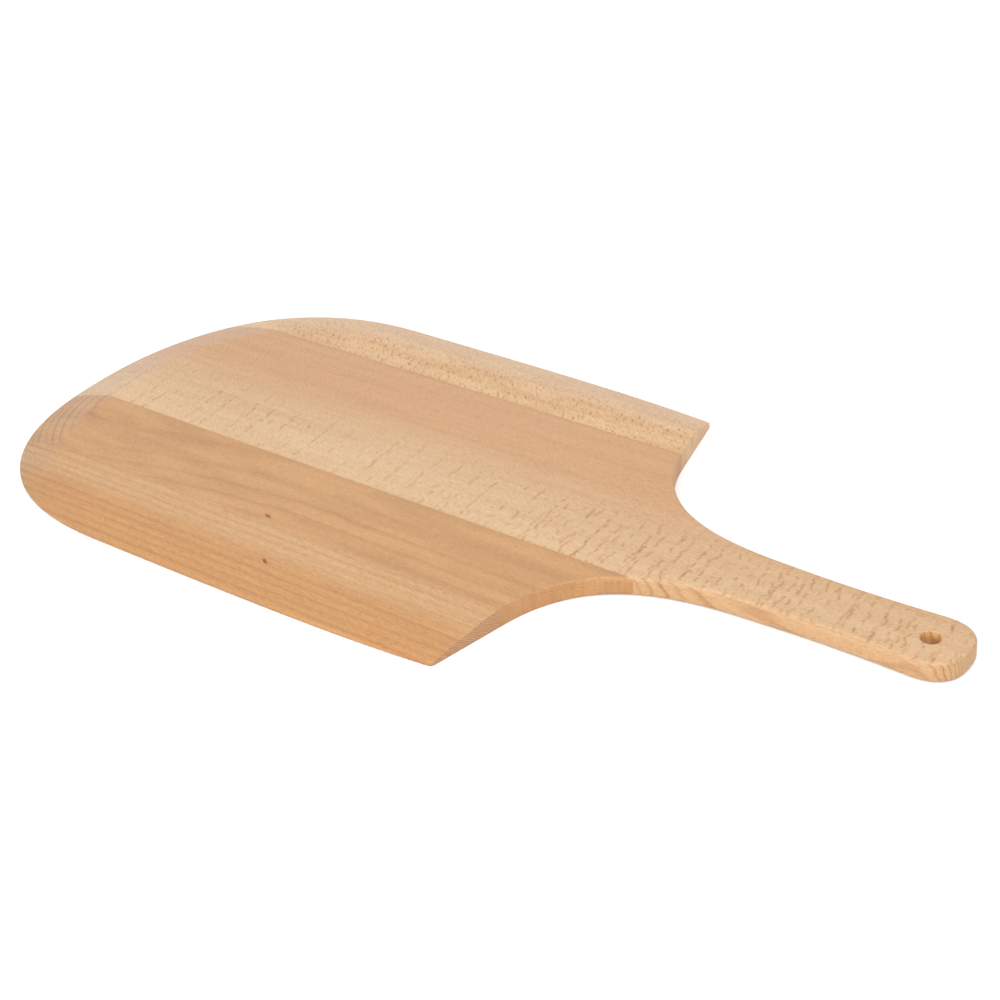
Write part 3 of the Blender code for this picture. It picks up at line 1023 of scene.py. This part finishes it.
def add_camera():
    """Camera that looks down on the peel from the front and the handle's end."""
    data = bpy.data.cameras.new("camera")
    data.lens = CAMERA_LENS
    data.sensor_width = CAMERA_SENSOR
    camera = bpy.data.objects.new("camera", data)
    bpy.context.collection.objects.link(camera)
    back = direction(CAMERA_AZIMUTH, CAMERA_ELEVATION)
    aim = back.to_track_quat("Z", "Y").to_matrix().to_4x4()
    roll = Matrix.Rotation(math.radians(CAMERA_ROLL), 4, "Z")
    camera.matrix_world = Matrix.Translation(CAMERA_TARGET + back * CAMERA_DISTANCE) @ aim @ roll
    bpy.context.scene.camera = camera


def add_floor():
    """Plain pale floor, just under the peel."""
    mesh = bpy.data.meshes.new("floor")
    corners = [(x * FLOOR_HALF, y * FLOOR_HALF, 0) for x, y in ((-1, -1), (1, -1), (1, 1), (-1, 1))]
    mesh.from_pydata(corners, [], [(0, 1, 2, 3)])
    floor = bpy.data.objects.new("floor", mesh)
    floor.location.z = -FLOOR_GAP
    material = bpy.data.materials.new("floor")
    material.use_nodes = True
    shader = material.node_tree.nodes["Principled BSDF"]
    shader.inputs["Base Color"].default_value = FLOOR_COLOUR
    shader.inputs["Roughness"].default_value = 0.9
    shader.inputs["Specular IOR Level"].default_value = 0.0
    mesh.materials.append(material)
    bpy.context.collection.objects.link(floor)


def add_light(name, azimuth, elevation, distance, width, height, power):
    """Large soft lamp aimed at the middle of the peel from a direction given in degrees."""
    data = bpy.data.lights.new(name, "AREA")
    data.shape = "RECTANGLE"
    data.size = width
    data.size_y = height
    data.energy = power
    lamp = bpy.data.objects.new(name, data)
    lamp.location = direction(azimuth, elevation) * distance
    lamp.rotation_euler = (-lamp.location).to_track_quat("-Z", "Y").to_euler()
    bpy.context.collection.objects.link(lamp)


def add_studio():
    """Even white surroundings, a soft lamp overhead, one in front and a low strip behind for the sheen."""
    world = bpy.data.worlds.new("studio")
    world.use_nodes = True
    background = world.node_tree.nodes["Background"]
    background.inputs["Color"].default_value = (1, 1, 1, 1)
    background.inputs["Strength"].default_value = 1.0
    bpy.context.scene.world = world
    bpy.context.scene.view_settings.view_transform = "Standard"
    add_light("overhead", azimuth=-30, elevation=62, distance=2.3, width=1.6, height=1.6, power=23)
    add_light("front", azimuth=-82, elevation=24, distance=2.2, width=1.4, height=1.0, power=26)
    add_light("strip", azimuth=130, elevation=9, distance=2.4, width=2.4, height=0.5, power=5)


def main():
    """The three staves, the camera, the floor and the light."""
    board = whole_board()
    for node, (wood, low, high) in STAVES.items():
        add_stave(board, node, low, high, wood())
    board.free()
    add_camera()
    add_floor()
    add_studio()


main()
